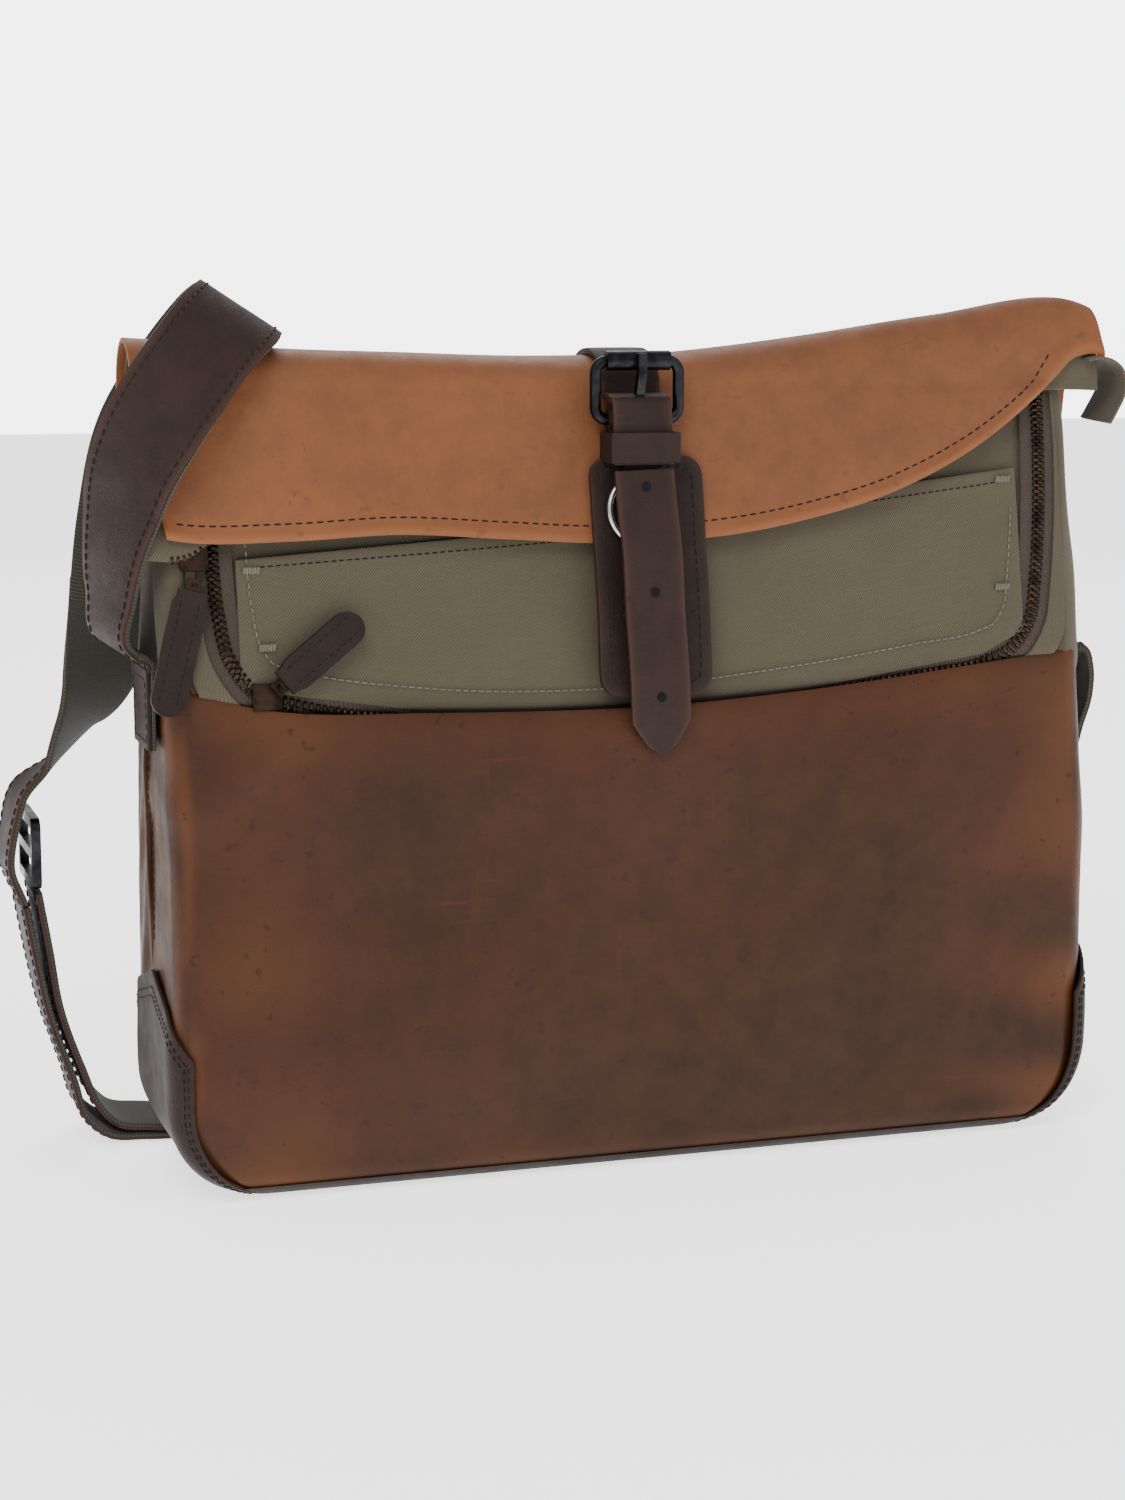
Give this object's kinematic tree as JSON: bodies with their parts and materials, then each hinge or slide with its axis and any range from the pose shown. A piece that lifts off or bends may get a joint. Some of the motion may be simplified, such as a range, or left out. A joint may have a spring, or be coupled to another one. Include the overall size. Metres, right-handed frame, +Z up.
{
  "type": "messenger bag",
  "caption": "Leather and canvas messenger bag with fold-over flap, buckled closure strap, front zipper and shoulder strap.",
  "frame": {"origin": "centre of the flat base", "axes": "+X along the bag's width, +Y to the back, -Y to the buckle side, +Z up"},
  "size_m": [0.4673, 0.1472, 0.3763],
  "materials": {
    "brown_leather": "waxed, matt",
    "tan_leather": "waxed, matt",
    "dark_leather": "waxed, matt",
    "strap_leather": "waxed, canvas lined",
    "canvas": "waxed twill",
    "lining_cloth": "plain cotton",
    "board": "stiff board",
    "zip_tape": "woven tape",
    "zip_metal": "dark bronze",
    "black_metal": "gunmetal",
    "nickel": "nickel plated"
  },
  "bodies": {
    "root": {"access_panel": "canvas", "back_leather_panel": "brown_leather", "base_board": "board", "base_gusset": "dark_leather", "canvas_body": "canvas", "closure_strap_anchor": "dark_leather", "flap_back_hem": "tan_leather", "front_leather_panel": "brown_leather", "front_zip_chain": "zip_metal", "front_zip_tape": "zip_tape", "lining": "lining_cloth", "magnet_socket": "nickel", "shoulder_strap_back": "strap_leather", "shoulder_strap_inner": "strap_leather", "shoulder_strap_outer": "strap_leather", "shoulder_strap_over": "strap_leather", "shoulder_strap_right": "strap_leather", "side_tab_left": "dark_leather", "slip_pocket": "lining_cloth", "strap_ring": "black_metal", "strap_slide": "black_metal", "strap_turn_left": "strap_leather", "strap_turn_right": "strap_leather"},
    "flap": {"flap_leather_front": "tan_leather", "roll_canvas": "canvas", "fold_leather": "tan_leather", "fold_canvas": "canvas", "top_zip_chain": "zip_metal", "patch": "dark_leather", "magnet_stud": "nickel", "ring_loop": "dark_leather", "buckle_strap": "dark_leather", "buckle_frame": "black_metal", "closure_strap_front": "dark_leather", "strap_keeper": "dark_leather", "closure_strap_fold": "dark_leather"},
    "o_ring": {"o_ring": "nickel"},
    "roller": {"buckle_roller": "black_metal"},
    "prong": {"buckle_prong": "black_metal"},
    "tail": {"closure_strap_tail": "dark_leather"},
    "top_slider": {"top_zip_slider": "zip_metal"},
    "top_pull": {"top_pull_tab": "dark_leather", "top_pull_link": "zip_metal"},
    "front_slider": {"front_zip_slider": "zip_metal"},
    "front_pull": {"front_pull_tab": "dark_leather", "front_pull_link": "zip_metal"}
  },
  "joints": [
    {"name": "flap_fold", "type": "hinge", "parent": "root", "child": "flap", "pos_m": [0, -0.016, 0.326], "axis": [-1, 0, 0], "range_deg": [0, 165], "deforming": ["fold_leather", "fold_canvas", "closure_strap_fold", "shoulder_strap_over"]},
    {"name": "tail_lift", "type": "hinge", "parent": "flap", "child": "tail", "pos_m": [-0.004, -0.04122, 0.2894], "axis": [-1, 0, 0], "range_deg": [0, 50]},
    {"name": "roller_spin", "type": "hinge", "parent": "flap", "child": "roller", "pos_m": [-0.004, -0.03251, 0.3325], "axis": [1, 0, 0], "continuous": true},
    {"name": "prong_play", "type": "hinge", "parent": "flap", "child": "prong", "pos_m": [-0.004, -0.03251, 0.309], "axis": [1, 0, 0], "range_deg": [0, 8]},
    {"name": "ring_turn", "type": "hinge", "parent": "flap", "child": "o_ring", "pos_m": [-0.004, -0.0396, 0.27278], "axis": [0, 0.9802, -0.198], "continuous": true},
    {"name": "top_slider_slide", "type": "slide", "parent": "flap", "child": "top_slider", "axis": [1, 0, 0], "range_m": [0, 0.02]},
    {"name": "top_pull_swing", "type": "hinge", "parent": "top_slider", "child": "top_pull", "pos_m": [-0.1857, -0.03297, 0.24969], "axis": [-0.9652, 0, 0.2614], "range_deg": [0, 90]},
    {"name": "front_slider_slide", "type": "slide", "parent": "root", "child": "front_slider", "axis": [1, 0, 0], "range_m": [0, 0.095]},
    {"name": "front_pull_swing", "type": "hinge", "parent": "front_slider", "child": "front_pull", "pos_m": [-0.1565, -0.04027, 0.205], "axis": [0.6157, -0.1087, -0.7805], "range_deg": [0, 105]}
  ]
}
